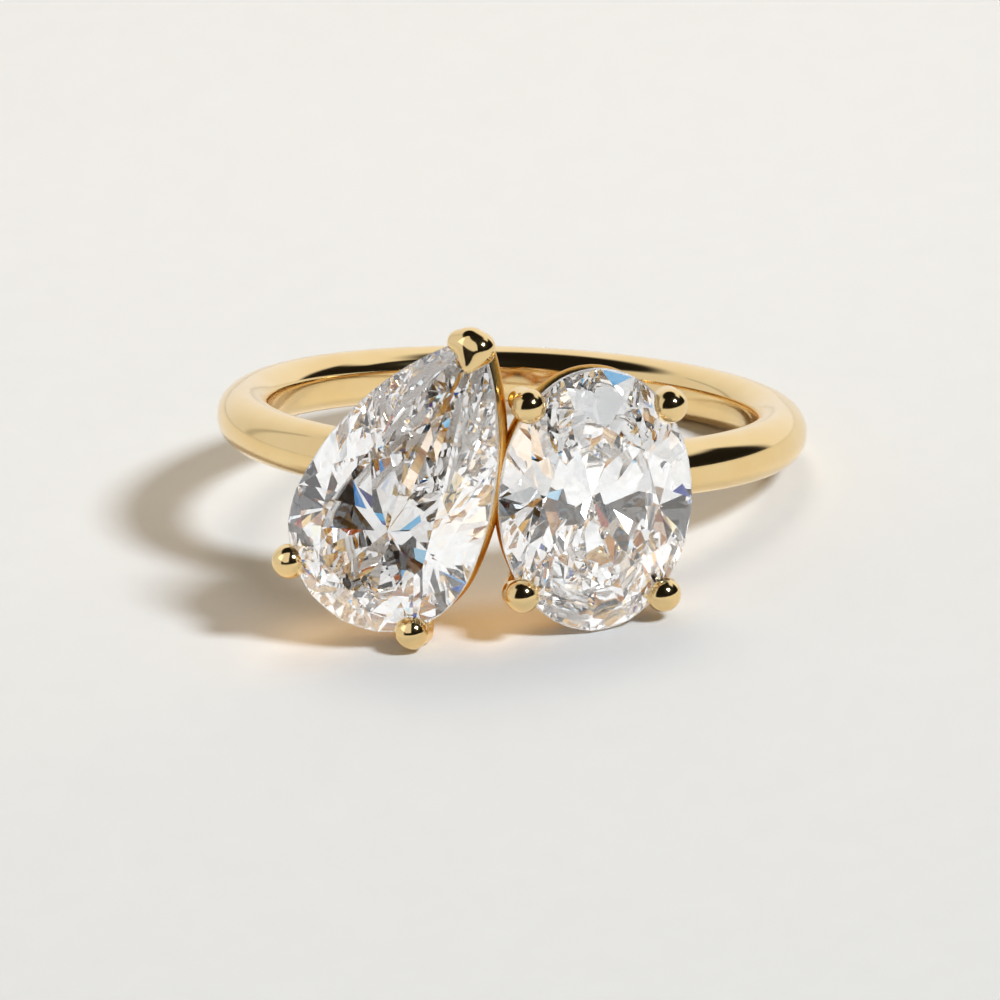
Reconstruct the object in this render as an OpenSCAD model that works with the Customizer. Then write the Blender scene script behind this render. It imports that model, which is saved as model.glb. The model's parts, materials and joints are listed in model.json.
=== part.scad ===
// Toi et moi ring: a pear and an oval brilliant side by side on a plain round band.
// The ring lies on its side as it rests by itself: the finger hole opens upwards, the stones
// face -Y, and the middle of the finger hole is the origin. Millimetres and degrees.
//
// The ring's own frame has the finger hole's axis on Z and the head towards -Y.
// A stone's own frame has its table towards +Z, its length on Y and its girdle on z = 0.

/* [Band] */
// Diameter of the finger hole
bore_d = 16.5; // [14.5:0.1:20]
// Width of the band, along the finger
band_w = 1.9; // [1.6:0.05:2.1]
// Thickness of the band, from the finger outwards
band_t = 1.8; // [1.5:0.05:1.85]

/* [Head] */
// Angle between the head's middle and each stone, about the finger hole's axis
fan = 15.4; // [14.8:0.1:17]
// Room between the band's outside and the oval's lowest point
culet_gap = 0.35; // [0.25:0.05:0.6]
// How far the pear's round end lies below the band's middle
pear_drop = 1.56; // [1.2:0.02:1.8]
// How far the pear is turned towards the oval
pear_turn = 24.4; // [18:0.1:26]
// How far the oval's middle lies below the band's middle
oval_drop = 0.07; // [0:0.01:0.2]

/* [Pear stone] */
// Width of the pear
pear_w = 6.65; // [6:0.05:6.8]
// Length of the pear
pear_l = 11.05; // [10:0.05:12]
// Width of the pear's table
pear_table_w = 3.95; // [3.5:0.05:4.3]
// Height of the pear's crown
pear_crown_h = 0.95; // [0.8:0.05:1.1]
// Depth of the pear's pavilion
pear_pavilion_h = 2.8; // [2.6:0.05:2.9]

/* [Oval stone] */
// Width of the oval
oval_w = 6.6; // [6:0.05:6.8]
// Length of the oval
oval_l = 8.92; // [8.2:0.02:9.6]
// Width of the oval's table
oval_table_w = 3.95; // [3.5:0.05:4.3]
// Height of the oval's crown
oval_crown_h = 0.95; // [0.8:0.05:1.1]
// Depth of the oval's pavilion
oval_pavilion_h = 2.8; // [2.6:0.05:2.9]

/* [Both stones] */
// Thickness of the girdle where the main facets meet it
girdle_t = 0.2; // [0.18:0.01:0.3]
// Room between a stone and the gold around it
seat_gap = 0.03; // [0.02:0.01:0.06]

/* [Baskets] */
// Diameter of the rail under each girdle
rail_d = 0.8; // [0.6:0.05:0.85]
// Depth of the rail's middle below the girdle
rail_depth = 1.15; // [1.1:0.05:1.3]
// How far the rail's outside stands back from the girdle
rail_back = 0.08; // [0.04:0.02:0.12]
// Diameter of the foot ring that joins each basket to the band
foot_d = 0.75; // [0.6:0.05:0.9]
// How far the foot rings are let into the band
foot_sink = 0.22; // [0.15:0.01:0.3]
// Half the width of the pear's foot ring, to the middle of its wire
pear_foot_r = 1.4; // [1.2:0.05:1.6]
// Length of the pear's foot ring from its round end's middle to its point
pear_foot_h = 3.3; // [3:0.1:3.5]
// Half the width of the oval's foot ring, to the middle of its wire
oval_foot_r = 1.35; // [1.2:0.05:1.6]
// Half the length of the oval's foot ring, to the middle of its wire
oval_foot_h = 1.85; // [1.7:0.05:2]

/* [Prongs] */
// Diameter of the ball at the end of a prong
ball_d = 1.2; // [1:0.05:1.3]
// Height of the ball's middle above the girdle's middle
ball_up = 0.2; // [0.15:0.05:0.35]
// How far the ball's middle stands outside the girdle
ball_out = 0.1; // [0.05:0.01:0.15]
// Diameter of a prong under its ball
prong_top_d = 0.92; // [0.8:0.02:1]
// Diameter of a prong at its foot
prong_foot_d = 0.7; // [0.6:0.05:0.75]
// Depth of a prong's shoulder, where it bends over the stone
shoulder_depth = 0.6; // [0.5:0.05:0.7]
// How far the middle of the shoulder stands outside the girdle
shoulder_out = 0.2; // [0.18:0.02:0.3]

/* [Claw on the pear's point] */
// Diameter of the claw's two rounded corners
claw_d = 1.2; // [1.1:0.02:1.3]
// Distance between the middles of the two corners
claw_spread = 0.32; // [0.3:0.02:0.5]
// How far the corners lie back from the stone's point
claw_back = 0.44; // [0.38:0.02:0.5]
// Diameter of the claw's arm, which follows the side away from the oval
arm_d = 0.86; // [0.8:0.02:0.95]
// How far the arm's end lies to the side of the stone's point
arm_side = 0.52; // [0.4:0.02:0.6]
// How far the arm's end lies back from the stone's point
arm_back = 0.55; // [0.5:0.01:0.65]
// Diameter of the claw's nose, which lies on the crown
nose_d = 0.5; // [0.4:0.02:0.6]
// How far the nose lies to the side of the stone's point, towards the oval
nose_side = 0.22; // [0:0.02:0.3]
// How far the nose lies back from the stone's point
nose_back = 1.02; // [0.9:0.02:1.1]
// Height of the nose's middle above the girdle's middle
nose_up = 0.38; // [0.3:0.01:0.45]
// Diameter of the claw's prong where it meets the claw
claw_prong_d = 1.1; // [1:0.05:1.15]

/* [Hidden] */
full_turn = 360;
half_turn = 180;
band_fn = 256;
arc_fn = 96;
wire_fn = 32;

// Facets: eight mains, with a half-way point between each two, make sixteen stations
mains = 8;
stations = 2 * mains;
// Steps that the girdle takes from one station to the next
steps = 4;
// Height of a star's lower point, as a share of the crown
star_share = 0.7;
// Height of a lower half's inner point above the culet, as a share of the pavilion
half_share = 0.21;
// Where two arcs of wire join, the end arc is a little thinner and runs this far into the side
joint_step = 0.97;
joint_lap = 3;
// A ball on a bend is a little thicker than the rods that it joins
bend_swell = 1.02;
// Stations at which the stones are held
oval_held = [2, 6, 10, 14];
pear_held = [10, 14];
pear_point = 4;

bore_r = bore_d / 2;
band_outer_r = bore_r + band_t;
band_mid_r = band_outer_r - band_w / 2;
girdle_r = band_outer_r + culet_gap + oval_pavilion_h + girdle_t / 2;
rail_inset = rail_back + rail_d / 2;
foot_depth = girdle_r - band_outer_r + foot_sink - foot_d / 2;

// The pear's outline: a half circle, and two arcs that meet at the point
pear_r = pear_w / 2;
pear_h = pear_l - pear_r;
function wing_r(r, h) = (r * r + h * h) / (2 * r);

// The oval's wires follow it as four arcs that run into each other: the end arcs are a little
// wider than the oval's own curve at its ends, and the side arcs follow from them
end_ease = 1.08;
function end_r(a, b) = end_ease * a * a / b;
function side_r(a, b, end) = (a * a + b * b - 2 * b * end) / (2 * (a - end));

// Points of the outlines by station, counted from the right-hand side towards the length's end
function oval_edge(s, grow = 0) =
    let (turn = full_turn * s / stations)
    [(oval_w / 2 + grow) * cos(turn), (oval_l / 2 + grow) * sin(turn)];

function pear_edge(s, grow = 0) =
    let (
        around = (s + stations) % stations,
        quarter = stations / 4,
        wing = wing_r(pear_r, pear_h),
        inner = wing - pear_r,
        tip_angle = acos(inner / (wing + grow)),
        left = around > quarter,
        turn = tip_angle * (left ? 2 * quarter - around : around) / quarter,
        across = (wing + grow) * cos(turn) - inner,
        low = full_turn * around / stations
    )
    around > 2 * quarter
        ? (pear_r + grow) * [cos(low), sin(low)]
        : [left ? -across : across, (wing + grow) * sin(turn)];

// Points of the outlines moved outwards, square to the edge, and set at a height
function beside(edge, s, out, up) =
    let (
        along = edge(s + 1) - edge(s - 1),
        square = [along.y, -along.x] / norm(along),
        p = edge(s) + out * square
    )
    [p.x, p.y, up];
function shoulder_at(edge, s) = beside(edge, s, shoulder_out, -shoulder_depth);
function ball_at(edge, s) = beside(edge, s, ball_out, ball_up);

// Planes as a unit normal with the distance along it
function plane_of(p, u, v) = let (n = cross(u, v)) [n / norm(n), p * n / norm(n)];
function plane_at(a, b, c) = plane_of(a, b - a, c - a);
function height_on(plane, p) = (plane[1] - plane[0].x * p.x - plane[0].y * p.y) / plane[0].z;

// Point at height z on the line where two planes meet
function meet(a, b, z) =
    let (
        n = a[0],
        m = b[0],
        ka = a[1] - n.z * z,
        kb = b[1] - m.z * z,
        whole = n.x * m.y - n.y * m.x
    )
    [(ka * m.y - kb * n.y) / whole, (n.x * kb - m.x * ka) / whole, z];

function lifted(p, z) = [p.x, p.y, z];
function wrap(i, count) = (i + count) % count;

// Main facet i: through the girdle's point, an inner point and along the girdle
function main_plane(edge, i, girdle_z, inner) =
    let (p = lifted(edge(2 * i), girdle_z), along = edge(2 * i + 1) - edge(2 * i - 1))
    plane_of(p, lifted(along, 0), inner - p);

// Rows of points of one side of a stone: its inner corners and its scalloped girdle line
function side_points(edge, girdle_z, inner, corner_z) =
    let (
        plane = [for (i = [0:mains - 1]) main_plane(edge, i, girdle_z, inner[i])],
        corner = [for (i = [0:mains - 1]) meet(plane[i], plane[wrap(i + 1, mains)], corner_z)],
        half = [
            for (s = [0:stations - 1])
                plane_at(corner[floor(s / 2)], lifted(edge(s), girdle_z), lifted(edge(s + 1), girdle_z))
        ],
        line = [
            for (s = [0:stations - 1], k = [0:steps - 1])
                let (p = edge(s + k / steps)) lifted(p, height_on(half[s], p))
        ]
    )
    [corner, line];

// A brilliant: table, stars, mains and halves above the girdle, halves and mains below it
module brilliant(edge, table_share, crown_h, pavilion_h, thick) {
    top = thick / 2;
    around = stations * steps;
    table = [for (i = [0:mains - 1]) lifted(table_share * edge(2 * i), top + crown_h)];
    culet = [0, 0, -top - pavilion_h];
    upper = side_points(edge, top, table, top + star_share * crown_h);
    lower = side_points(edge, -top, [for (i = table) culet], culet.z + half_share * pavilion_h);
    points = concat(table, upper[0], upper[1], lower[1], lower[0], [culet]);
    star = mains;
    crown_line = star + mains;
    base_line = crown_line + around;
    inner = base_line + around;
    tip = inner + mains;
    per_main = 2 * steps;
    faces = concat(
        [[for (i = [0:mains - 1]) i]],
        [for (i = [0:mains - 1]) [i, star + i, wrap(i + 1, mains)]],
        [for (i = [0:mains - 1]) [i, star + wrap(i - 1, mains), crown_line + per_main * i, star + i]],
        [
            for (s = [0:stations - 1])
                concat(
                    [star + floor(s / 2)],
                    [for (k = [0:steps]) crown_line + wrap(s * steps + k, around)]
                )
        ],
        [
            for (k = [0:around - 1])
                let (next = wrap(k + 1, around))
                [crown_line + k, base_line + k, base_line + next, crown_line + next]
        ],
        [
            for (s = [0:stations - 1])
                concat(
                    [inner + floor(s / 2)],
                    [for (k = [steps:-1:0]) base_line + wrap(s * steps + k, around)]
                )
        ],
        [for (i = [0:mains - 1]) [tip, inner + i, base_line + per_main * i, inner + wrap(i - 1, mains)]]
    );
    polyhedron(points, [for (face = faces) [for (i = [len(face) - 1:-1:0]) face[i]]]);
}

module pear_stone(grow = 0) {
    edge = function(s) pear_edge(s, grow);
    brilliant(edge, pear_table_w / pear_w, pear_crown_h, pear_pavilion_h + grow, girdle_t + 2 * grow);
}

module oval_stone(grow = 0) {
    edge = function(s) oval_edge(s, grow);
    brilliant(edge, oval_table_w / oval_w, oval_crown_h, oval_pavilion_h + grow, girdle_t + 2 * grow);
}

// Places in the ring's own frame, as functions of a point in a stone's frame
function on_head(p, angle, drop, turn) =
    let (
        across = p.x * cos(turn) + p.y * sin(turn),
        up = p.y * cos(turn) - p.x * sin(turn) - drop,
        out = girdle_r + p.z
    )
    [across * cos(angle) + out * sin(angle), across * sin(angle) - out * cos(angle), up];
on_pear = function(p) on_head(p, -fan, pear_drop, pear_turn);
on_oval = function(p) on_head(p, fan, oval_drop, 0);

module at_pear() {
    rotate([90, 0, -fan]) translate([0, -pear_drop, girdle_r]) rotate([0, 0, -pear_turn]) children();
}
module at_oval() {
    rotate([90, 0, fan]) translate([0, -oval_drop, girdle_r]) children();
}

// How the ring rests: the floor touches the band's back and the lowest place of each basket, which
// may be a prong's ball or shoulder, the stone's girdle or the rail under it
oval_rim = function(s) oval_edge(s);
pear_rim = function(s) pear_edge(s);
function band_low(up) = band_mid_r * [-up.x, -up.y, 0] / norm([up.x, up.y]) - band_w / 2 * up;
function basket_lows(place, rim, held, up) = concat(
    [for (s = held) place(ball_at(rim, s)) - ball_d / 2 * up],
    [for (s = held) place(shoulder_at(rim, s)) - bend_swell * prong_top_d / 2 * up],
    [for (s = [0:1 / steps:stations]) place(lifted(rim(s), -girdle_t / 2))],
    [for (s = [0:1 / steps:stations]) place(beside(rim, s, -rail_inset, -rail_depth)) - rail_d / 2 * up]
);
function lowest(points, up) =
    let (heights = [for (p = points) p * up])
    points[search(min(heights), heights)[0]];
function settled(up, rounds) =
    let (
        a = band_low(up),
        b = lowest(basket_lows(on_pear, pear_rim, pear_held, up), up),
        c = lowest(basket_lows(on_oval, oval_rim, oval_held, up), up),
        n = cross(b - a, c - a)
    )
    rounds < 1 ? up : settled(n / norm(n), rounds - 1);
// The search for the resting direction starts from a slight tilt and soon stops changing
first_up = [0, -0.17, 1];
rest_rounds = 12;
up = settled(first_up, rest_rounds);

module resting() rotate([atan2(up.y, up.z), atan2(-up.x, norm([up.y, up.z])), 0]) children();

// The band: a round wire whose inside is turned flat to the finger hole
module band() {
    rotate_extrude($fn = band_fn) {
        difference() {
            translate([band_mid_r, 0]) circle(d = band_w, $fn = arc_fn);
            translate([0, -band_w]) square([bore_r, 2 * band_w]);
        }
    }
}

// Wire of diameter d along an arc about a point
module arc_wire(middle, r, from, sweep, d) {
    translate([middle.x, middle.y, 0]) rotate([0, 0, from])
        rotate_extrude(angle = sweep, $fn = arc_fn) translate([r, 0]) circle(d = d, $fn = wire_fn);
}

// Closed wire in the pear's shape, with its middle line set in from the outline
module pear_loop(r, h, inset, d) {
    wing = wing_r(r, h);
    inner = wing - r;
    sweep = acos(inner / (wing - inset));
    arc_wire([0, 0], r - inset, half_turn - joint_lap, half_turn + 2 * joint_lap, d * joint_step);
    arc_wire([-inner, 0], wing - inset, 0, sweep, d);
    arc_wire([inner, 0], wing - inset, half_turn - sweep, sweep, d);
    translate([0, (wing - inset) * sin(sweep), 0]) sphere(d = bend_swell * d, $fn = wire_fn);
}

// Closed wire in the oval's shape, with its middle line set in from the outline
module oval_loop(a, b, inset, d) {
    end = end_r(a, b);
    side = side_r(a, b, end);
    sweep = atan2(b - end, side - a);
    lapped = sweep - joint_lap;
    for (turn = [0, half_turn]) {
        rotate([0, 0, turn]) {
            arc_wire([a - side, 0], side - inset, -sweep, 2 * sweep, d);
            arc_wire([0, b - end], end - inset, lapped, half_turn - 2 * lapped, d * joint_step);
        }
    }
}

// Tapered rod from one point to another
module rod(from, to, d1, d2) {
    along = to - from;
    translate(from) rotate([0, acos(along.z / norm(along)), atan2(along.y, along.x)])
        cylinder(h = norm(along), d1 = d1, d2 = d2, $fn = wire_fn);
}

// A prong: up from the foot ring, over its shoulder and into a ball on the girdle
module prong(foot, shoulder, top) {
    rod(foot, shoulder, prong_foot_d, prong_top_d);
    translate(shoulder) sphere(d = bend_swell * prong_top_d, $fn = wire_fn);
    rod(shoulder, top, prong_top_d, prong_top_d);
    translate(top) sphere(d = ball_d, $fn = wire_fn);
}

module pear_prong(s) {
    prong(
        lifted(pear_foot_r / pear_r * pear_edge(s), -foot_depth),
        shoulder_at(pear_rim, s),
        ball_at(pear_rim, s)
    );
}

module oval_prong(s) {
    rim = oval_edge(s);
    prong(
        [rim.x * 2 * oval_foot_r / oval_w, rim.y * 2 * oval_foot_h / oval_l, -foot_depth],
        shoulder_at(oval_rim, s),
        ball_at(oval_rim, s)
    );
}

// The claw: a rounded cap over the pear's point with an arm along one side and a nose on the
// crown, on a prong of its own
module claw() {
    tip = pear_edge(pear_point).y;
    hull() {
        claw_corners(tip);
        translate([-arm_side, tip - arm_back, 0]) sphere(d = arm_d, $fn = wire_fn);
    }
    hull() {
        claw_corners(tip);
        translate([nose_side, tip - nose_back, nose_up]) sphere(d = nose_d, $fn = wire_fn);
    }
    rod([0, pear_foot_h, -foot_depth], [0, tip - claw_back, 0], prong_foot_d, claw_prong_d);
}

module claw_corners(tip) {
    for (side = [-1, 1])
        translate([side * claw_spread / 2, tip - claw_back, 0]) sphere(d = claw_d, $fn = wire_fn);
}

module pear_basket() {
    translate([0, 0, -rail_depth]) pear_loop(pear_r, pear_h, rail_inset, rail_d);
    translate([0, 0, -foot_depth]) pear_loop(pear_foot_r, pear_foot_h, 0, foot_d);
    for (s = pear_held) pear_prong(s);
    claw();
}

module oval_basket() {
    translate([0, 0, -rail_depth]) oval_loop(oval_w / 2, oval_l / 2, rail_inset, rail_d);
    translate([0, 0, -foot_depth]) oval_loop(oval_foot_r, oval_foot_h, 0, foot_d);
    for (s = oval_held) oval_prong(s);
}

// The gold: band and baskets soldered into one piece, with seats cut for the stones
module mounting() {
    color("goldenrod") resting() difference() {
        union() {
            band();
            at_pear() pear_basket();
            at_oval() oval_basket();
        }
        at_pear() pear_stone(seat_gap);
        at_oval() oval_stone(seat_gap);
    }
}

module pear_diamond() {
    color("lightcyan") resting() at_pear() pear_stone();
}

module oval_diamond() {
    color("aliceblue") resting() at_oval() oval_stone();
}

mounting();
pear_diamond();
oval_diamond();
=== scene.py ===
"""Toi et moi ring, dressed: a polished gold band and two baskets with a pear and an oval diamond.

The pieces are modelled in millimetres, in the ring's own frame: the finger hole's axis is Z and
the head faces -Y. A stone's frame has its table towards +Z, its length on Y and its girdle on
z = 0. A finished piece is turned as the ring rests and brought to metres, so its object sits at
the origin. The sizes repeat those of the part's source.
"""

import json
import logging
import math
from collections.abc import Callable, Iterable, Sequence
from dataclasses import dataclass, field
from enum import Enum

import bpy
from mathutils import Euler, Matrix, Quaternion, Vector

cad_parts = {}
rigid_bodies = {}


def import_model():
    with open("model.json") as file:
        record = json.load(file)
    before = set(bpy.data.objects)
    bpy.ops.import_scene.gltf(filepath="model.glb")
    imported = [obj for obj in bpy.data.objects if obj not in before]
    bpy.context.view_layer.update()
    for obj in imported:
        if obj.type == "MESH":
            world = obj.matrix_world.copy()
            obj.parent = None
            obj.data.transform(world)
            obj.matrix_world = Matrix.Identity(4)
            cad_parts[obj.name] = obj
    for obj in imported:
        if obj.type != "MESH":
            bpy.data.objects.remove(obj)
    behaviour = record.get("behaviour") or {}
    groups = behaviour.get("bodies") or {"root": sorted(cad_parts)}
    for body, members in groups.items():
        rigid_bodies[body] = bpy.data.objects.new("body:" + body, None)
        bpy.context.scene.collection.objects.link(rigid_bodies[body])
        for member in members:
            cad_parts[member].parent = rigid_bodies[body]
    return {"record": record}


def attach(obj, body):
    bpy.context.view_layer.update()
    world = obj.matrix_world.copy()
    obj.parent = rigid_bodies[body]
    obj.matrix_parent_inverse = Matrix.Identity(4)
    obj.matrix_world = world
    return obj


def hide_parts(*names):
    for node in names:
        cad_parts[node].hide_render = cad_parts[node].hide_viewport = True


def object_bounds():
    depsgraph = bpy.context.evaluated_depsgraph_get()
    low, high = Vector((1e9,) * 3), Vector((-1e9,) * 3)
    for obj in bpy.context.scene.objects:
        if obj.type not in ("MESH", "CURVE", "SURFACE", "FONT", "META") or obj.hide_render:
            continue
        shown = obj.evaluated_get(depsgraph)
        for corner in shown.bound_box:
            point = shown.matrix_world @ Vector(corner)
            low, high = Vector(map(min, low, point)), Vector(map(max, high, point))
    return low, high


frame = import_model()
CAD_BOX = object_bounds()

log = logging.getLogger("toi_et_moi_ring")

BODY = "root"
STONES = ("pear_stone", "oval_stone")
MM = 0.001
MOUNT = next(m for m in frame["record"]["mounts"] if m["name"] == "finger_hole")
BORE_R = MOUNT["dims"]["r_mm"]
UP = Vector(MOUNT["axis"])
# The ring's own frame turned as the ring rests: first about X, then about Y
RESTING = Euler((-math.asin(UP.y), math.atan2(UP.x, UP.z), 0.0)).to_matrix().to_4x4()


# ---- small tools of the bench


def linear(code: str) -> tuple[float, float, float, float]:
    """Turns an sRGB hex colour to the linear colour that a shader takes.

    Args:
        code: Six hex digits, such as "f2d9a0".

    Returns:
        Linear red, green and blue, and an alpha of one.
    """
    parts = [int(code[i:i + 2], 16) / 255 for i in (0, 2, 4)]
    flat = [c / 12.92 if c <= 0.04045 else ((c + 0.055) / 1.055) ** 2.4 for c in parts]
    return (*flat, 1.0)


def add_node(tree: bpy.types.NodeTree, kind: str, settings: dict | None = None,
             **sockets: object) -> bpy.types.Node:
    """Adds a node with its settings, and sets or links its inputs.

    Args:
        tree: The node tree that gets it.
        kind: The node's type name.
        settings: Properties of the node itself.
        **sockets: An input's name (spaces as underscores, or i0, i1 by number) and its value, or
            the output socket that feeds it.

    Returns:
        The new node.
    """
    node = tree.nodes.new(kind)
    for name, value in (settings or {}).items():
        setattr(node, name, value)
    for name, value in sockets.items():
        key = int(name[1:]) if name[0] == "i" and name[1:].isdigit() else name.replace("_", " ")
        if isinstance(value, bpy.types.NodeSocket):
            tree.links.new(value, node.inputs[key])
        else:
            node.inputs[key].default_value = value
    return node


def maths(tree: bpy.types.NodeTree, operation: str, *terms: object) -> bpy.types.NodeSocket:
    """Adds a maths node to a tree, and gives its result."""
    terms_by_number = {f"i{number}": term for number, term in enumerate(terms)}
    return add_node(tree, "ShaderNodeMath", {"operation": operation}, **terms_by_number).outputs[0]


def mixed(tree: bpy.types.NodeTree, factor: bpy.types.NodeSocket, first: object,
          second: object) -> bpy.types.NodeSocket:
    """Adds a node that mixes two colours, and gives the mixed one."""
    return add_node(tree, "ShaderNodeMix", {"data_type": "RGBA"}, Factor=factor, i6=first,
                    i7=second).outputs[2]


def ranged(tree: bpy.types.NodeTree, value: bpy.types.NodeSocket, bounds: tuple[float, float],
           to: tuple[float, float], eased: bool = True) -> bpy.types.NodeSocket:
    """Adds a node that maps one range of a value to another.

    Args:
        tree: The node tree.
        value: The value.
        bounds: The range that it comes from.
        to: The range that it goes to.
        eased: Whether both ends are eased.

    Returns:
        The mapped value, which stays in its range.
    """
    settings = {"interpolation_type": "SMOOTHSTEP" if eased else "LINEAR"}
    return add_node(tree, "ShaderNodeMapRange", settings, Value=value, From_Min=bounds[0],
                    From_Max=bounds[1], To_Min=to[0], To_Max=to[1]).outputs["Result"]


def new_material(piece: bpy.types.Object,
                 name: str) -> tuple[bpy.types.NodeTree, bpy.types.Node]:
    """Gives a piece a material of its own.

    Args:
        piece: The piece.
        name: The material's name.

    Returns:
        The material's nodes, and its shader among them.
    """
    material = bpy.data.materials.new(name)
    material.use_nodes = True
    piece.data.materials.append(material)
    return material.node_tree, material.node_tree.nodes["Principled BSDF"]


def in_metres() -> Matrix:
    """Gives the matrix from the ring's own frame, in millimetres, to the resting ring in metres."""
    return Matrix.Scale(MM, 4) @ RESTING


def in_millimetres(tree: bpy.types.NodeTree, origin: Matrix) -> bpy.types.NodeSocket:
    """Adds the nodes that give a point's place in millimetres.

    Args:
        tree: The node tree.
        origin: Where the frame that it is measured in lies, in the metres of the resting ring.

    Returns:
        The place.
    """
    back = origin.inverted()
    where = add_node(tree, "ShaderNodeTexCoord")
    return add_node(tree, "ShaderNodeMapping", Vector=where.outputs["Object"],
                    Location=back.translation, Rotation=back.to_euler(),
                    Scale=(1 / MM,) * 3).outputs["Vector"]


def alone(*objects: bpy.types.Object) -> bpy.types.Object:
    """Selects these objects and nothing else, and makes the first one active.

    Args:
        *objects: What is selected.

    Returns:
        The first of them.
    """
    for other in bpy.context.view_layer.objects:
        other.select_set(other in objects)
    bpy.context.view_layer.objects.active = objects[0]
    return objects[0]


def in_edit(action: Callable[[], object], select: str = "SELECT") -> None:
    """Runs an operator in edit mode on the active object's mesh.

    Args:
        action: What is run.
        select: What is selected first, as mesh.select_all takes it.
    """
    bpy.ops.object.mode_set(mode="EDIT")
    bpy.ops.mesh.select_all(action=select)
    action()
    bpy.ops.object.mode_set(mode="OBJECT")


def modify(piece: bpy.types.Object, kind: str, **settings: object) -> None:
    """Adds a modifier to a piece and applies it.

    Args:
        piece: The piece.
        kind: The modifier's type.
        **settings: The modifier's properties.
    """
    alone(piece)
    modifier = piece.modifiers.new(kind.lower(), kind)
    for name, value in settings.items():
        setattr(modifier, name, value)
    bpy.ops.object.modifier_apply(modifier=modifier.name)


def place(piece: bpy.types.Object, matrix: Matrix) -> bpy.types.Object:
    """Moves a piece by a matrix and applies it, so that its object stays at the origin.

    Args:
        piece: The piece.
        matrix: Where it goes.

    Returns:
        The same piece.
    """
    alone(piece)
    piece.matrix_world = matrix @ piece.matrix_world
    bpy.ops.object.transform_apply(location=True, rotation=True, scale=True)
    return piece


def join(name: str, pieces: Sequence[bpy.types.Object]) -> bpy.types.Object:
    """Joins pieces into one mesh.

    Args:
        name: The name of the result.
        pieces: What is joined.

    Returns:
        The joined piece.
    """
    alone(*pieces)
    bpy.ops.object.join()
    whole = bpy.context.object
    whole.name = whole.data.name = name
    return whole


def outwards(piece: bpy.types.Object, merge: float = 1e-4) -> None:
    """Merges a piece's doubles and turns its faces outwards.

    Args:
        piece: The piece.
        merge: Points closer than this are one, in millimetres.
    """
    alone(piece)
    in_edit(lambda: bpy.ops.mesh.remove_doubles(threshold=merge))
    in_edit(lambda: bpy.ops.mesh.normals_make_consistent(inside=False))


def discard(piece: bpy.types.Object) -> None:
    """Deletes a piece that has done its work."""
    bpy.data.objects.remove(piece, do_unlink=True)


# ---- the wires and balls that a mounting is put together from


def ball(middle: Vector, diameter: float, segments: int = 48) -> bpy.types.Object:
    """Makes a ball of gold.

    Args:
        middle: Its middle.
        diameter: Its diameter.
        segments: Faces around it.

    Returns:
        The ball.
    """
    bpy.ops.mesh.primitive_uv_sphere_add(
        segments=segments, ring_count=segments // 2, radius=diameter / 2, location=middle)
    bpy.ops.object.transform_apply(location=True, rotation=True, scale=True)
    return bpy.context.object


def rod(start: Vector, end: Vector, thick: float, thick_end: float,
        segments: int = 48) -> bpy.types.Object:
    """Makes a tapered rod from one point to another.

    Args:
        start: The middle of its first end.
        end: The middle of its other end.
        thick: Its diameter at the start.
        thick_end: Its diameter at the end.
        segments: Faces around it.

    Returns:
        The rod.
    """
    along = end - start
    bpy.ops.mesh.primitive_cone_add(
        vertices=segments, radius1=thick / 2, radius2=thick_end / 2, depth=along.length,
        location=(start + end) / 2, rotation=along.to_track_quat("Z", "Y").to_euler())
    bpy.ops.object.transform_apply(location=True, rotation=True, scale=True)
    return bpy.context.object


def wire_loop(points: Sequence[Vector], thick: float, resolution: int = 8) -> bpy.types.Object:
    """Makes a closed loop of round wire.

    Args:
        points: The points that the wire's middle follows.
        thick: Its diameter.
        resolution: How finely the wire is rounded.

    Returns:
        The loop.
    """
    bpy.ops.mesh.primitive_circle_add(vertices=len(points), radius=1.0)
    loop = bpy.context.object
    for vertex, point in zip(loop.data.vertices, points):
        vertex.co = point
    bpy.ops.object.convert(target="CURVE")
    loop.data.bevel_depth = thick / 2
    loop.data.bevel_resolution = resolution
    bpy.ops.object.convert(target="MESH")
    return bpy.context.object


# ---- the stones


class StoneCut(Enum):
    """The outline that a stone is cut to."""

    PEAR = "pear"
    OVAL = "oval"


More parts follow.
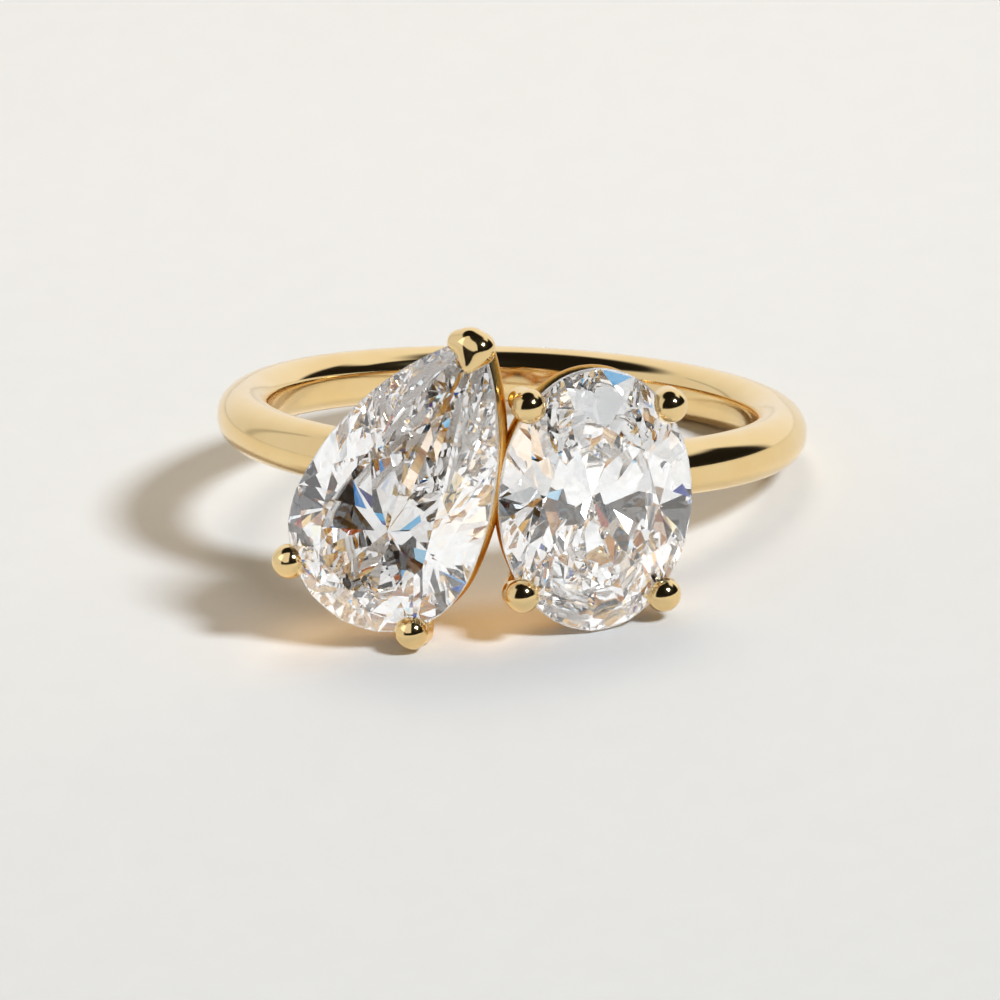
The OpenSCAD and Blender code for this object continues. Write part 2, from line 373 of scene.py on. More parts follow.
@dataclass(frozen=True)
class Outline:
    """The outline of a stone, by sixteen stations counted from its right-hand side."""

    cut: StoneCut
    width: float
    length: float
    stations: int = 16

    def wing(self) -> float:
        """Radius of the arcs that run from the pear's round end to its point."""
        half, height = self.width / 2, self.length - self.width / 2
        return (half * half + height * height) / (2 * half)

    def at(self, station: float, grow: float = 0.0) -> Vector:
        """Finds a point of the outline.

        Args:
            station: The station, which may be a fraction.
            grow: How far outside the outline the point is.

        Returns:
            The point, with z = 0.
        """
        half = self.width / 2 + grow
        turn = 2 * math.pi * station / self.stations
        if self.cut is StoneCut.OVAL:
            return Vector((half * math.cos(turn), (self.length / 2 + grow) * math.sin(turn), 0))
        around = station % self.stations
        quarter = self.stations / 4
        if around > 2 * quarter:
            return Vector((half * math.cos(turn), half * math.sin(turn), 0))
        inner = self.wing() - self.width / 2
        wing = self.wing() + grow
        left = around > quarter
        bend = math.acos(inner / wing) * (2 * quarter - around if left else around) / quarter
        across = wing * math.cos(bend) - inner
        return Vector((-across if left else across, wing * math.sin(bend), 0))

    def point(self) -> Vector:
        """Gives the pear's point, or the oval's far end: a quarter of the way round."""
        return self.at(self.stations / 4)

    def loop(self, steps: int, grow: float = 0.0) -> list[Vector]:
        """Gives evenly counted points all round, with z = 0."""
        return [self.at(i * self.stations / steps, grow) for i in range(steps)]

    def beside(self, station: float, out: float, up: float) -> Vector:
        """Finds a point beside the outline.

        Args:
            station: The station.
            out: How far it stands outside the outline, square to it.
            up: Its height.

        Returns:
            The point.
        """
        along = self.at(station + 1) - self.at(station - 1)
        square = Vector((along.y, -along.x, 0)).normalized()
        return self.at(station) + out * square + Vector((0, 0, up))


@dataclass(frozen=True)
class Plane:
    """The plane of a facet: a point on it and its outward normal."""

    point: Vector
    normal: Vector

    @staticmethod
    def through(a: Vector, b: Vector, c: Vector) -> "Plane":
        """Makes the plane through three points, with its normal away from the stone's middle."""
        normal = (b - a).cross(c - a).normalized()
        return Plane(a, normal if normal.dot(a) > 0 else -normal)

    def meet(self, other: "Plane", height: float) -> Vector:
        """Finds the point at a height where two planes meet.

        Args:
            other: The other plane.
            height: The height.

        Returns:
            The point.
        """
        n, m = self.normal, other.normal
        a = n.dot(self.point) - n.z * height
        b = m.dot(other.point) - m.z * height
        whole = n.x * m.y - n.y * m.x
        return Vector(((a * m.y - b * n.y) / whole, (n.x * b - m.x * a) / whole, height))


@dataclass
class Diamond:
    """A brilliant: table, stars, mains and halves above its girdle, halves and mains below."""

    name: str
    node: str
    outline: Outline
    table_w: float
    place: Matrix
    crown_h: float = 0.95
    pavilion_h: float = 2.8
    girdle_t: float = 0.2
    mains: int = 8
    steps: int = 4
    star_share: float = 0.7
    half_share: float = 0.21
    spare: float = 1.0
    close: float = 1e-4

    def side(self, height: float, inner: Sequence[Vector], corner_z: float) -> list[Plane]:
        """Works out the mains and halves of the crown or of the pavilion.

        Args:
            height: Height of the girdle's edge where the mains meet it.
            inner: The point that each main runs to, by main.
            corner_z: Height at which neighbouring mains part.

        Returns:
            The planes of the mains, then of the halves.
        """
        lift = Vector((0, 0, height))
        edge = self.outline.at
        planes = []
        for i in range(self.mains):
            rim = edge(2 * i) + lift
            planes.append(Plane.through(rim, rim + edge(2 * i + 1) - edge(2 * i - 1), inner[i]))
        corners = [planes[i].meet(planes[(i + 1) % self.mains], corner_z)
                   for i in range(self.mains)]
        halves = [Plane.through(corners[s // 2], edge(s) + lift, edge(s + 1) + lift)
                  for s in range(2 * self.mains)]
        return planes + halves

    def facets(self) -> list[Plane]:
        """Works out the plane of each facet.

        Returns:
            The planes: the crown's with the table and stars first, then the pavilion's.
        """
        top = self.girdle_t / 2
        share = self.table_w / self.outline.width
        table = [share * self.outline.at(2 * i) + Vector((0, 0, top + self.crown_h))
                 for i in range(self.mains)]
        culet = Vector((0, 0, -top - self.pavilion_h))
        star_z = top + self.star_share * self.crown_h
        crown = self.side(top, table, star_z)
        corners = [crown[i].meet(crown[(i + 1) % self.mains], star_z) for i in range(self.mains)]
        stars = [Plane.through(table[i], table[(i + 1) % self.mains], corners[i])
                 for i in range(self.mains)]
        half_z = culet.z + self.half_share * self.pavilion_h
        pavilion = self.side(-top, [culet] * self.mains, half_z)
        return [Plane(table[0], Vector((0, 0, 1))), *stars, *crown, *pavilion]

    def blank(self, grow: float = 0.0) -> bpy.types.Object:
        """Makes the rough stone: an upright slab of the outline.

        Args:
            grow: How far it stands outside the outline.

        Returns:
            The slab.
        """
        count = self.outline.stations * self.steps
        bpy.ops.mesh.primitive_circle_add(vertices=count, radius=1.0, fill_type="NGON")
        slab = bpy.context.object
        low = Vector((0, 0, -self.girdle_t / 2 - self.pavilion_h - self.spare))
        for vertex, rim in zip(slab.data.vertices, self.outline.loop(count, grow)):
            vertex.co = rim + low
        tall = self.pavilion_h + self.girdle_t + self.crown_h + 2 * self.spare
        in_edit(lambda: bpy.ops.mesh.extrude_region_move(
            TRANSFORM_OT_translate={"value": (0, 0, tall)}))
        outwards(slab)
        return slab

    def cut(self, grow: float = 0.0) -> bpy.types.Object:
        """Cuts the stone, one plane for each facet.

        Args:
            grow: How far each facet stands outside the stone's own, for the seat's cutter.

        Returns:
            The stone in its own frame.
        """
        stone = self.blank(grow)
        alone(stone)
        bpy.ops.object.mode_set(mode="EDIT")
        for facet in self.facets():
            bpy.ops.mesh.select_all(action="SELECT")
            bpy.ops.mesh.bisect(
                plane_co=facet.point + grow * facet.normal, plane_no=facet.normal,
                use_fill=True, clear_outer=True, threshold=self.close)
        bpy.ops.object.mode_set(mode="OBJECT")
        outwards(stone)
        return stone

    def build(self) -> bpy.types.Object:
        """Cuts the stone, sets it in its place and dresses it.

        Returns:
            The finished stone.
        """
        stone = self.cut()
        stone.name = stone.data.name = self.name
        place(stone, self.place)
        finish_piece(stone)
        bpy.ops.object.shade_flat()
        PolishedDiamond(self.name, self).dress(stone)
        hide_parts(self.node)
        return stone


# ---- the gold


@dataclass
class Band:
    """The band: a round wire with a flat land inside, its edges eased by the buffing wheel."""

    name: str = "band"
    width: float = 1.9
    thick: float = 1.8
    around: int = 256
    section: int = 96
    ease: float = 20.0
    seam_at: float = 90.0
    merge: float = 1e-3

    def sweep(self, below: float, start: float, turn: float, steps: int) -> bpy.types.Object:
        """Spins the band's section about the finger hole.

        Args:
            below: How far the swept surface lies inside the band's own.
            start: Direction of the first section, in degrees from +X.
            turn: How far it is spun, in degrees.
            steps: Steps of the spin.

        Returns:
            The swept wire, open at its ends.
        """
        half = self.width / 2
        bpy.ops.mesh.primitive_circle_add(vertices=self.section, radius=1.0)
        wire = bpy.context.object
        for vertex in wire.data.vertices:
            reach = half - below
            if vertex.co.x < 0:
                land = (self.thick - half - below) / -vertex.co.x
                reach = (reach ** -self.ease + land ** -self.ease) ** (-1 / self.ease)
            vertex.co *= reach
        place(wire, Matrix.Rotation(math.radians(start), 4, "Z")
              @ Matrix.Translation((BORE_R + self.thick - half, 0, 0))
              @ Matrix.Rotation(math.pi / 2, 4, "X"))
        in_edit(lambda: bpy.ops.mesh.spin(
            steps=steps, angle=math.radians(turn), center=(0, 0, 0), axis=(0, 0, 1)))
        return wire

    def build(self) -> bpy.types.Object:
        """Makes the whole band and dresses it.

        Returns:
            The finished band.
        """
        band = self.sweep(0.0, self.seam_at, 360.0, self.around)
        outwards(band, self.merge)
        band.name = band.data.name = self.name
        finish_piece(band)
        bpy.ops.object.shade_smooth()
        PolishedGold(self.name).dress(band)
        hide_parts("mounting")
        return band


@dataclass
class Basket:
    """A stone's basket: a rail under the girdle, a foot ring on the band, and the prongs.

    A prong holds the stone at each station in held. The basket is melted onto a short stub of the
    band, which starts in the direction band_from and runs through band_turn, both in degrees.
    """

    name: str
    stone: Diamond
    others: list[Diamond]
    foot: Outline
    held: tuple[int, ...]
    band: Band
    band_from: float
    band_turn: float
    claw: bool = False
    culet_gap: float = 0.35
    seat_gap: float = 0.03
    rail_d: float = 0.8
    rail_depth: float = 1.15
    rail_back: float = 0.08
    foot_d: float = 0.75
    foot_sink: float = 0.22
    ball_d: float = 1.2
    ball_up: float = 0.2
    ball_out: float = 0.1
    prong_top_d: float = 0.92
    prong_foot_d: float = 0.7
    shoulder_depth: float = 0.6
    shoulder_out: float = 0.2
    bend_swell: float = 1.02
    claw_d: float = 1.2
    claw_spread: float = 0.32
    claw_back: float = 0.44
    arm_d: float = 0.86
    arm_side: float = 0.52
    arm_back: float = 0.55
    nose_d: float = 0.5
    nose_side: float = 0.22
    nose_back: float = 1.02
    nose_up: float = 0.38
    claw_prong_d: float = 1.1
    per_station: int = 8
    grain: float = 0.05
    solder: float = 0.5
    solder_rounds: int = 14
    stub_below: float = 0.03
    stub_steps: int = 48
    crease: float = 35.0

    def foot_depth(self) -> float:
        """Depth of the foot ring's middle below the girdle."""
        low = self.culet_gap + self.stone.pavilion_h + self.stone.girdle_t / 2
        return low + self.foot_sink - self.foot_d / 2

    def ring(self, outline: Outline, inset: float, depth: float,
             thick: float) -> bpy.types.Object:
        """Makes a ring of wire along an outline.

        Args:
            outline: The outline.
            inset: How far inside it the wire's middle runs.
            depth: How far below the girdle's middle it lies.
            thick: The wire's diameter.

        Returns:
            The ring.
        """
        low = Vector((0, 0, depth))
        path = outline.loop(self.per_station * outline.stations, -inset)
        return wire_loop([p - low for p in path], thick)

    def rings(self) -> list[bpy.types.Object]:
        """Makes the rail under the girdle and the foot ring that is soldered to the band.

        Returns:
            Both rings.
        """
        inset = self.rail_back + self.rail_d / 2
        return [self.ring(self.stone.outline, inset, self.rail_depth, self.rail_d),
                self.ring(self.foot, 0.0, self.foot_depth(), self.foot_d)]

    def prong(self, station: int) -> list[bpy.types.Object]:
        """Makes a prong: up from the foot ring, over its shoulder and into a ball on the girdle.

        Args:
            station: The station that it holds the stone at.

        Returns:
            Its parts.
        """
        start = self.foot.at(station) - Vector((0, 0, self.foot_depth()))
        shoulder = self.stone.outline.beside(station, self.shoulder_out, -self.shoulder_depth)
        top = self.stone.outline.beside(station, self.ball_out, self.ball_up)
        thick = self.prong_top_d
        return [rod(start, shoulder, self.prong_foot_d, thick),
                ball(shoulder, self.bend_swell * thick), rod(shoulder, top, thick, thick),
                ball(top, self.ball_d)]

    def claw_parts(self) -> list[bpy.types.Object]:
        """Makes the claw over the pear's point: a cap with an arm and a nose, on its own prong.

        Returns:
            Its parts.
        """
        tip = self.stone.outline.point().y
        arm = (Vector((-self.arm_side, tip - self.arm_back, 0)), self.arm_d)
        nose = (Vector((self.nose_side, tip - self.nose_back, self.nose_up)), self.nose_d)
        parts = []
        for end, thick in (arm, nose):
            corners = [ball(Vector((side * self.claw_spread / 2, tip - self.claw_back, 0)),
                            self.claw_d) for side in (-1, 1)]
            parts.append(join("cap", [*corners, ball(end, thick)]))
            in_edit(lambda: bpy.ops.mesh.convex_hull())
        start = self.foot.point() - Vector((0, 0, self.foot_depth()))
        parts.append(rod(start, Vector((0, tip - self.claw_back, 0)), self.prong_foot_d,
                         self.claw_prong_d))
        return parts

    def build(self) -> bpy.types.Object:
        """Solders the basket together, cuts the seats and dresses it.

        Returns:
            The finished basket.
        """
        parts = self.rings()
        for station in self.held:
            parts += self.prong(station)
        if self.claw:
            parts += self.claw_parts()
        basket = join(self.name, parts)
        place(basket, self.stone.place)
        stub = self.band.sweep(self.stub_below, self.band_from, self.band_turn, self.stub_steps)
        alone(stub)
        in_edit(lambda: bpy.ops.mesh.fill_holes(sides=0))
        basket = join(self.name, [basket, stub])
        modify(basket, "REMESH", mode="VOXEL", voxel_size=self.grain)
        modify(basket, "SMOOTH", factor=self.solder, iterations=self.solder_rounds)
        for stone in (self.stone, *self.others):
            cutter = place(stone.cut(self.seat_gap), stone.place)
            modify(basket, "BOOLEAN", object=cutter, operation="DIFFERENCE", solver="EXACT")
            discard(cutter)
        finish_piece(basket)
        bpy.ops.object.shade_smooth_by_angle(angle=math.radians(self.crease))
        PolishedGold(self.name, self.stone.place).dress(basket)
        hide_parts("mounting")
        return basket


def finish_piece(piece: bpy.types.Object) -> None:
    """Turns a piece as the ring rests, brings it to metres and reports it.

    Args:
        piece: The piece, in the ring's own frame and in millimetres.
    """
    place(piece, in_metres())
    piece.data.materials.clear()
    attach(piece, BODY)
    piece.data.calc_loop_triangles()
    log.info("%s: %d triangles", piece.name, len(piece.data.loop_triangles))
    alone(piece)


# ---- the finishes


@dataclass(frozen=True)
class PolishedGold:
    """18 carat yellow gold, cast and soldered, then buffed where a wheel reaches.

    Buffed gold is a mirror with a trace of unevenness. Under a girdle no wheel reaches, and the
    gold keeps the grainy satin of the casting; its deeper tone there is painted shade, the shade
    under the stone, not the metal's own colour: reach gives the heights, from the girdle's
    middle, where the wheel's touch ends and where the satin and its painted shade are whole.
    Gold under no stone is all buffed.
    """

    piece: str
    under: Matrix | None = None
    colour: str = "fae0ab"
    deep: str = "f0cd8c"
    # The deeper tone under the girdle: painted shade under the stone
    cast_painted_shade: str = "d8a03c"
    roughness: float = 0.1
    cast_roughness: float = 0.34
    uneven: float = 0.3
    polish_mm: float = 1.6
    grain_mm: float = 0.09
    grain_deep_mm: float = 0.02
    grain_strength: float = 0.5
    reach: tuple[float, float] = (-1.05, -0.7)

    def dress(self, piece: bpy.types.Object) -> None:
        """Gives a piece this finish.

        Args:
            piece: The piece.
        """
        tree, shader = new_material(piece, f"{self.piece}_polished_18ct_gold")
        shader.inputs["Metallic"].default_value = 1.0
        # The stone's frame for a basket, and the ring's own for the band
        place_mm = in_millimetres(tree, in_metres() @ (self.under or Matrix.Identity(4)))
        cloud = add_node(tree, "ShaderNodeTexNoise", Vector=place_mm, Scale=1 / self.polish_mm,
                         Detail=3.0).outputs["Fac"]
        # The buffing wheel leaves the gold a little uneven, in tone and in gloss
        tone = mixed(tree, cloud, linear(self.colour), linear(self.deep))
        gloss = ranged(tree, cloud, (0.0, 1.0), ((1 - self.uneven) * self.roughness,
                                                 (1 + self.uneven) * self.roughness), eased=False)
        if self.under is not None:
            height = add_node(tree, "ShaderNodeSeparateXYZ", Vector=place_mm).outputs["Z"]
            # Unbuffed gold under the girdle: the casting's satin gloss and grain, and a deeper tone
            # that paints the shade under the stone
            unbuffed_and_shaded = ranged(tree, height, self.reach, (1.0, 0.0))
            tone = mixed(tree, unbuffed_and_shaded, tone, linear(self.cast_painted_shade))
            gloss = add_node(tree, "ShaderNodeMix", Factor=unbuffed_and_shaded, i2=gloss,
                             i3=self.cast_roughness).outputs[0]
            grain = add_node(tree, "ShaderNodeTexNoise", Vector=place_mm,
                             Scale=1 / self.grain_mm, Detail=2.0).outputs["Fac"]
            strength = maths(tree, "MULTIPLY", unbuffed_and_shaded, self.grain_strength)
            bump = add_node(tree, "ShaderNodeBump", Height=grain, Strength=strength,
                            Distance=self.grain_deep_mm * MM)
            tree.links.new(bump.outputs["Normal"], shader.inputs["Normal"])
        tree.links.new(tone, shader.inputs["Base Color"])
        tree.links.new(gloss, shader.inputs["Roughness"])


@dataclass(frozen=True)
class PolishedDiamond:
    """Colourless diamond, its facets polished on a wheel and its girdle ground.

    The polished facets are mirrors without a flaw. The ground girdle is a thin frosted line.
    """

    piece: str
    cut: "Diamond"
    colour: str = "ffffff"
    ground: str = "f1efec"
    roughness: float = 0.0
    ground_roughness: float = 0.3
    uneven: float = 0.5
    grind_mm: float = 0.05
    ior: float = 2.417

    def dress(self, piece: bpy.types.Object) -> None:
        """Gives a piece this finish.

        Args:
            piece: The piece.
        """
        tree, shader = new_material(piece, f"{self.piece}_polished_diamond")
        shader.inputs["Transmission Weight"].default_value = 1.0
        shader.inputs["IOR"].default_value = self.ior
        place_mm = in_millimetres(tree, in_metres() @ self.cut.place)
        height = add_node(tree, "ShaderNodeSeparateXYZ", Vector=place_mm).outputs["Z"]
        girdle = maths(tree, "COMPARE", height, 0.0, self.cut.girdle_t / 2)
        grain = add_node(tree, "ShaderNodeTexNoise", Vector=place_mm, Scale=1 / self.grind_mm,
                         Detail=2.0).outputs["Fac"]
        frost = ranged(tree, grain, (0.0, 1.0), ((1 - self.uneven) * self.ground_roughness,
                                                 (1 + self.uneven) * self.ground_roughness),
                       eased=False)
        gloss = add_node(tree, "ShaderNodeMix", Factor=girdle, i2=self.roughness, i3=frost)
        tone = mixed(tree, girdle, linear(self.colour), linear(self.ground))
        tree.links.new(tone, shader.inputs["Base Color"])
        tree.links.new(gloss.outputs[0], shader.inputs["Roughness"])


# ---- the studio


@dataclass(frozen=True)
class Veil:
    """A dark cloth of the studio, by azimuth from -Y towards +X and by elevation, in degrees."""

    azimuth: tuple[float, float]
    elevation: tuple[float, float]
    soft: float = 5.0
    depth: float = 1.0


@dataclass(frozen=True)
class Lamp:
    """A round soft light: its direction from the ring in degrees, distance and size in metres."""

    name: str
    azimuth: float
    elevation: float
    distance: float
    size: float
    power: float
    colour: str
    hidden: bool = False


@dataclass(frozen=True)
class Panel:
    """A glowing panel that lights some pieces only: middle, height and size in millimetres."""

    name: str
    middle: tuple[float, float]
    height: float
    size: tuple[float, float]
    glow: float
    colour: str
    down: bool = False


@dataclass
class Studio:
    """A pale floor, a bright room hung with dark veils in front and overhead, and a key light.

    Each panel lights only what it is named for in build: the card in front of the ring and the
    paper under it show in the stones, the glow is what the head throws on the floor, and the
    board hangs in front for the pear's basket. Angles are in degrees, and the floor's sheet and
    the camera's clip are in metres.
    """

    floor_z: float
    view_az: float = 5.863
    view_el: float = 19.885
    view_roll: float = -6.410
    view_distance: float = 700.0
    px_per_mm: float = 29.394
    image_px: float = 1000.0
    sensor: float = 36.0
    hole_px: tuple[float, float] = (512.008, 422.655)
    clip: tuple[float, float] = (0.01, 10.0)
    key: Lamp = Lamp("key", 52.0, 40.0, 3.0, 0.62, 90.0, "e8f1fa")
    fill: Lamp = Lamp("fill", 180.0, 66.0, 0.15, 0.08, 0.062, "fff0dc", hidden=True)
    card: Panel = Panel("card", (0.0, -144.0), 0.02, (260.0, 260.0), 0.22, "f6faff")
    under: Panel = Panel("under", (0.0, -3.0), 0.02, (22.0, 22.0), 0.7, "fff8ee")
    glow: Panel = Panel("glow", (-0.8, -12.4), 2.0, (12.5, 4.0), 0.85, "ffc464", down=True)
    board: Panel = Panel("board", (-41.0, -92.0), 40.0, (84.0, 144.0), 0.85, "fafbff", down=True)
    window_az: float = 150.0
    window_el: float = 20.0
    window_spread: tuple[float, float] = (0.1, 0.95)
    room_colour: str = "fafbff"
    room_dim: float = 0.8
    ambient_colour: str = "dccfb9"
    tent_colour: str = "fafafa"
    tent_strength: float = 1.04
    veil_colour: str = "1c1a18"
    room_veils: tuple[Veil, ...] = (
        Veil((-48.0, 100.0), (-12.0, 78.0)),
        Veil((84.0, 127.0), (-9.0, 34.0), 4.0),
        Veil((-400.0, 400.0), (54.0, 120.0), 6.0),
        Veil((-123.0, -117.0), (0.0, 45.0), 2.0, 0.35),
    )
    tent_veils: tuple[Veil, ...] = (Veil((-48.0, 58.0), (1.0, 58.0), 2.0),)
    fringe: float = 2.0
    sheet: float = 0.8
    paper: tuple[str, str] = ("ebeae8", "f1f0ee")
    paper_roughness: float = 0.9
    paper_specular: float = 0.2
    fibre_mm: float = 1.111
    bounces: int = 32
    paper_bounces: int = 3
    clamp: float = 8.0

    def direction(self, azimuth: float, elevation: float) -> Vector:
        """Gives the direction from the ring at an azimuth from -Y towards +X, and an elevation."""
        a, e = math.radians(azimuth), math.radians(elevation)
        return Vector((math.sin(a) * math.cos(e), -math.cos(a) * math.cos(e), math.sin(e)))

    def camera(self) -> None:
        """Sets up the camera where the photograph was taken from."""
        back = self.direction(self.view_az, self.view_el)
        level = Vector((0, 0, 1)).cross(back).normalized()
        right = Quaternion(back, math.radians(self.view_roll)) @ level
        up = back.cross(right)
        off_x = (self.hole_px[0] - self.image_px / 2) / self.px_per_mm
        off_y = (self.image_px / 2 - self.hole_px[1]) / self.px_per_mm
        aim = -off_x * right - off_y * up
        data = bpy.data.cameras.new("camera")
        data.sensor_width = self.sensor
        data.lens = self.px_per_mm * self.view_distance / self.image_px * self.sensor
        data.clip_start, data.clip_end = self.clip
        camera = bpy.data.objects.new("camera", data)
        bpy.context.scene.collection.objects.link(camera)
        turn = Matrix((right, up, back)).transposed().to_4x4()
        camera.matrix_world = Matrix.Translation((aim + self.view_distance * back) * MM) @ turn
        bpy.context.scene.camera = camera

    def area(self, name: str, shape: str, power: float, colour: str) -> bpy.types.Object:
        """Adds an area light that the camera doesn't see.

        Args:
            name: Its name.
            shape: Its shape, as the light's settings name it.
            power: Its power in watts.
            colour: Its colour.

        Returns:
            The light.
        """
        data = bpy.data.lights.new(name, "AREA")
        data.shape = shape
        data.energy = power
        data.color = linear(colour)[:3]
        light = bpy.data.objects.new(name, data)
        bpy.context.scene.collection.objects.link(light)
        light.visible_camera = False
        return light

    def light(self, lamp: Lamp) -> None:
        """Sets up a light.

        Args:
            lamp: The light; a hidden one shows in no reflection.
        """
        light = self.area(lamp.name, "DISK", lamp.power, lamp.colour)
        light.data.size = lamp.size
        towards = self.direction(lamp.azimuth, lamp.elevation)
        light.location = towards * lamp.distance
        light.rotation_euler = towards.to_track_quat("Z", "Y").to_euler()
        light.visible_glossy = light.visible_transmission = not lamp.hidden

    def panel(self, panel: Panel, lit: Iterable[str]) -> None:
        """Lays a panel that only some pieces see.

        Args:
            panel: The panel.
            lit: Names of the pieces that it lights.
        """
        width, depth = (side * MM for side in panel.size)
        power = math.pi * width * depth * panel.glow
        light = self.area(panel.name, "RECTANGLE", power, panel.colour)
        light.data.size, light.data.size_y = width, depth
        x, y = (side * MM for side in panel.middle)
        light.location = (x, y, self.floor_z + panel.height * MM)
        light.rotation_euler = (0.0 if panel.down else math.pi, 0, 0)
        seers = bpy.data.collections.new(f"lit_by_{panel.name}")
        for name in lit:
            seers.objects.link(bpy.data.objects[name])
        light.light_linking.receiver_collection = seers

    def cover(self, tree: bpy.types.NodeTree, azimuth: bpy.types.NodeSocket,
              elevation: bpy.types.NodeSocket, veils: Iterable[Veil],
              shift: float = 0.0) -> bpy.types.NodeSocket:
        """Adds the nodes that say how far veils cover a direction.

        Args:
            tree: The world's nodes.
            azimuth: The direction's azimuth, in radians.
            elevation: The direction's elevation, in radians.
            veils: The veils.
            shift: How far the veils are seen aside, in degrees.

        Returns:
            The cover, from 0 to 1.
        """
        whole = None
        for veil in veils:
            mask = None
            for socket, (start, end) in ((azimuth, veil.azimuth), (elevation, veil.elevation)):
                for edge, soft in ((start + shift, veil.soft), (end + shift, -veil.soft)):
                    bounds = (math.radians(edge - soft), math.radians(edge + soft))
                    ramp = ranged(tree, socket, bounds,
                                  (0.0, veil.depth if mask is None else 1.0))
                    mask = ramp if mask is None else maths(tree, "MULTIPLY", mask, ramp)
            whole = mask if whole is None else maths(tree, "MAXIMUM", whole, mask)
        return whole

    def room(self) -> None:
        """Paints the room, and the tent that stood about the stones for their own exposure.

        The gold is lit by a bright room that is dark in front and overhead. Light that has been
        through a stone finds a white tent, open only round the lens, and as diamond parts the
        colours of light, the opening lies a little further aside for blue than for red.
        """
        world = bpy.data.worlds.new("studio")
        bpy.context.scene.world = world
        world.use_nodes = True
        tree = world.node_tree
        background = tree.nodes["Background"]
        where = add_node(tree, "ShaderNodeTexCoord")
        xyz = add_node(tree, "ShaderNodeSeparateXYZ", Vector=where.outputs["Generated"])
        forward = maths(tree, "MULTIPLY", xyz.outputs["Y"], -1.0)
        azimuth = maths(tree, "ARCTAN2", xyz.outputs["X"], forward)
        elevation = maths(tree, "ARCSINE", xyz.outputs["Z"])
        # Brightest towards the window
        facing = add_node(tree, "ShaderNodeVectorMath", {"operation": "DOT_PRODUCT"},
                          i0=where.outputs["Generated"],
                          i1=self.direction(self.window_az, self.window_el)).outputs["Value"]
        bright = ranged(tree, facing, self.window_spread, (self.room_dim, 1.0))
        # The paper takes a warmer light from the room than the gold does
        rays = add_node(tree, "ShaderNodeLightPath")
        from_paper = maths(tree, "MINIMUM", rays.outputs["Diffuse Depth"], 1.0)
        colour = mixed(tree, from_paper, linear(self.room_colour), linear(self.ambient_colour))
        lit = add_node(tree, "ShaderNodeVectorMath", {"operation": "SCALE"}, i0=colour,
                       Scale=bright).outputs[0]
        room = mixed(tree, self.cover(tree, azimuth, elevation, self.room_veils), lit,
                     linear(self.veil_colour))
        tent_lit = [c * self.tent_strength for c in linear(self.tent_colour)[:3]]
        dark = linear(self.veil_colour)[:3]
        parted = [self.cover(tree, azimuth, elevation, self.tent_veils, step * self.fringe)
                  for step in (-0.5, 0.0, 0.5)]
        covers = add_node(tree, "ShaderNodeCombineXYZ", X=parted[0], Y=parted[1], Z=parted[2])
        tent = add_node(tree, "ShaderNodeVectorMath", {"operation": "MULTIPLY_ADD"},
                        i0=covers.outputs[0], i1=[d - c for d, c in zip(dark, tent_lit)],
                        i2=tent_lit).outputs[0]
        seen = add_node(tree, "ShaderNodeMath", {"operation": "SUBTRACT", "use_clamp": True},
                        i0=rays.outputs["Is Transmission Ray"], i1=from_paper)
        tree.links.new(mixed(tree, seen.outputs[0], room, tent), background.inputs["Color"])
        background.inputs["Strength"].default_value = 1.0

    def floor(self) -> None:
        """Lays the floor: a sheet of pale seamless paper."""
        bpy.ops.mesh.primitive_plane_add(size=self.sheet, location=(0, 0, self.floor_z))
        bpy.ops.object.transform_apply(location=True, rotation=True, scale=True)
        sheet = bpy.context.object
        sheet.name = sheet.data.name = "floor"
        tree, shader = new_material(sheet, "matt_seamless_paper")
        shader.inputs["Roughness"].default_value = self.paper_roughness
        shader.inputs["Specular IOR Level"].default_value = self.paper_specular
        # Fibres give the paper a faint cloudiness
        fibre = add_node(tree, "ShaderNodeTexNoise", Scale=1 / self.fibre_mm, Detail=6.0,
                         Vector=in_millimetres(tree, Matrix.Identity(4))).outputs["Fac"]
        tone = mixed(tree, fibre, *(linear(colour) for colour in self.paper))
        tree.links.new(tone, shader.inputs["Base Color"])

    def film(self) -> None:
        """Lets light pass through the stones often enough, and keeps the colours as they are."""
        scene = bpy.context.scene
        scene.view_settings.view_transform = "Standard"
        scene.view_settings.look = "None"
        cycles = scene.cycles
        cycles.max_bounces = self.bounces
        cycles.transmission_bounces = self.bounces
        cycles.glossy_bounces = self.bounces
        cycles.diffuse_bounces = self.paper_bounces
        # The gold and the stones throw a warm glow on the paper
        cycles.caustics_reflective = True
        cycles.caustics_refractive = True
        cycles.sample_clamp_indirect = self.clamp
        # Guided by the facets' albedo, denoising draws a maze over them
        cycles.denoising_input_passes = "RGB"

    def build(self) -> None:
        """Sets up the whole studio."""
        self.camera()
        for lamp in (self.key, self.fill):
            self.light(lamp)
        self.room()
        self.floor()
        for panel, lit in ((self.card, STONES), (self.under, STONES), (self.glow, ("floor",)),
                           (self.board, ("pear_basket",))):
            self.panel(panel, lit)
        self.film()


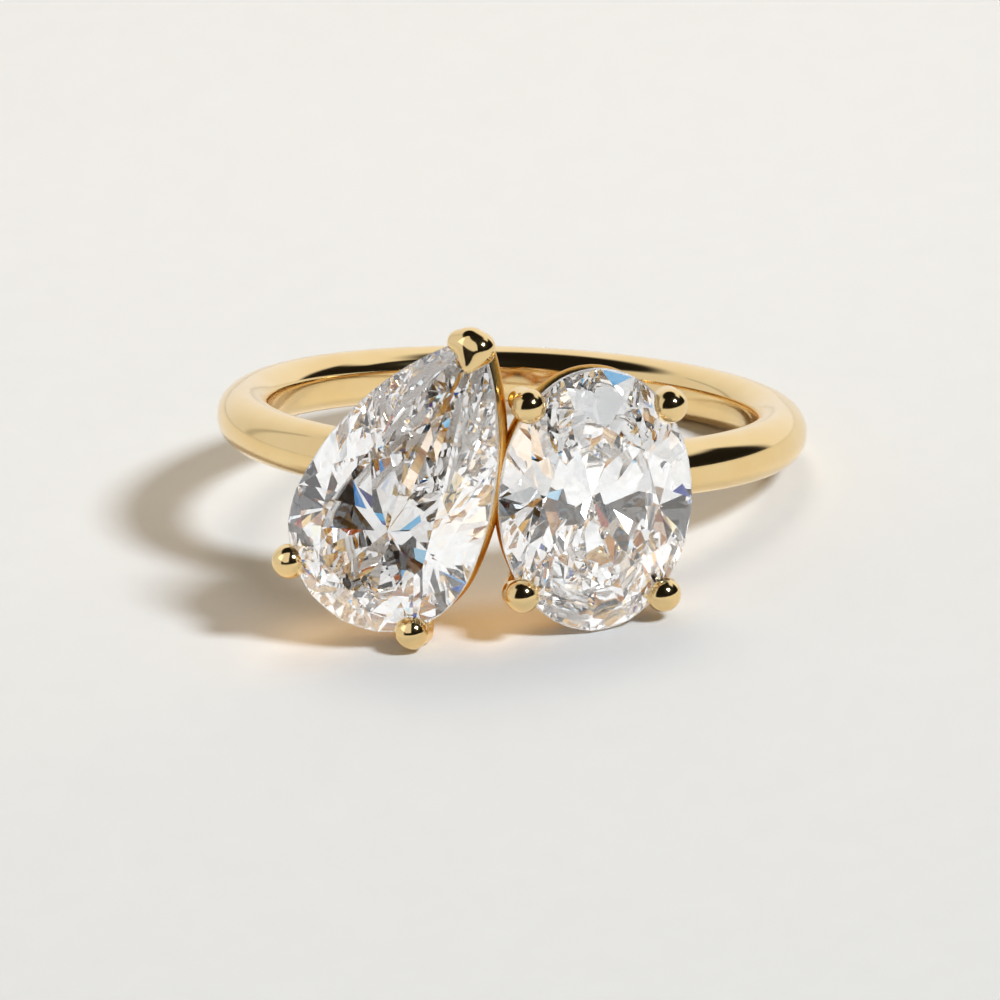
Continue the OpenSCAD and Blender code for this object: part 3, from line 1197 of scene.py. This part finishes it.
@dataclass
class ToiEtMoiRing:
    """The whole ring: where the stones sit, and what is built around them."""

    pear_cut: Outline = Outline(StoneCut.PEAR, 6.65, 11.05)
    oval_cut: Outline = Outline(StoneCut.OVAL, 6.6, 8.92)
    table_w: float = 3.95
    fan: float = 15.4
    girdle_r: float = 13.3
    pear_drop: float = 1.56
    pear_turn: float = 24.4
    oval_drop: float = 0.07
    pear_foot: Outline = Outline(StoneCut.PEAR, 2.8, 4.7)
    oval_foot: Outline = Outline(StoneCut.OVAL, 2.7, 3.7)
    pear_held: tuple[int, ...] = (10, 14)
    oval_held: tuple[int, ...] = (2, 6, 10, 14)
    pear_stub: tuple[float, float] = (234.0, 50.0)
    oval_stub: tuple[float, float] = (262.0, 46.0)
    pieces: list[bpy.types.Object] = field(default_factory=list)

    def seat(self, fan: float, drop: float, turn: float) -> Matrix:
        """Gives a stone's place in the ring's own frame.

        Args:
            fan: Its angle about the finger hole from the head's middle.
            drop: How far it lies below the band's middle.
            turn: How far it is turned clockwise on the head, in degrees.

        Returns:
            The matrix from the stone's frame to the ring's.
        """
        return (Euler((math.pi / 2, 0, math.radians(fan))).to_matrix().to_4x4()
                @ Matrix.Translation((0, -drop, self.girdle_r))
                @ Matrix.Rotation(math.radians(-turn), 4, "Z"))

    def build(self) -> list[bpy.types.Object]:
        """Builds the stones' cuts, the band and the baskets.

        Returns:
            The finished pieces.
        """
        pear = Diamond(STONES[0], "pear_diamond", self.pear_cut, self.table_w,
                       self.seat(-self.fan, self.pear_drop, self.pear_turn))
        oval = Diamond(STONES[1], "oval_diamond", self.oval_cut, self.table_w,
                       self.seat(self.fan, self.oval_drop, 0.0))
        band = Band()
        pear_basket = Basket("pear_basket", pear, [oval], self.pear_foot, self.pear_held, band,
                             *self.pear_stub, claw=True)
        oval_basket = Basket("oval_basket", oval, [pear], self.oval_foot, self.oval_held, band,
                             *self.oval_stub)
        self.pieces = [pear.build(), oval.build(), band.build(), pear_basket.build(),
                       oval_basket.build()]
        return self.pieces


def main() -> None:
    """Builds the ring and the studio."""
    logging.basicConfig(level=logging.INFO, format="%(name)s %(message)s")
    ToiEtMoiRing().build()
    Studio(CAD_BOX[0][2]).build()


if __name__ == "__main__":
    main()
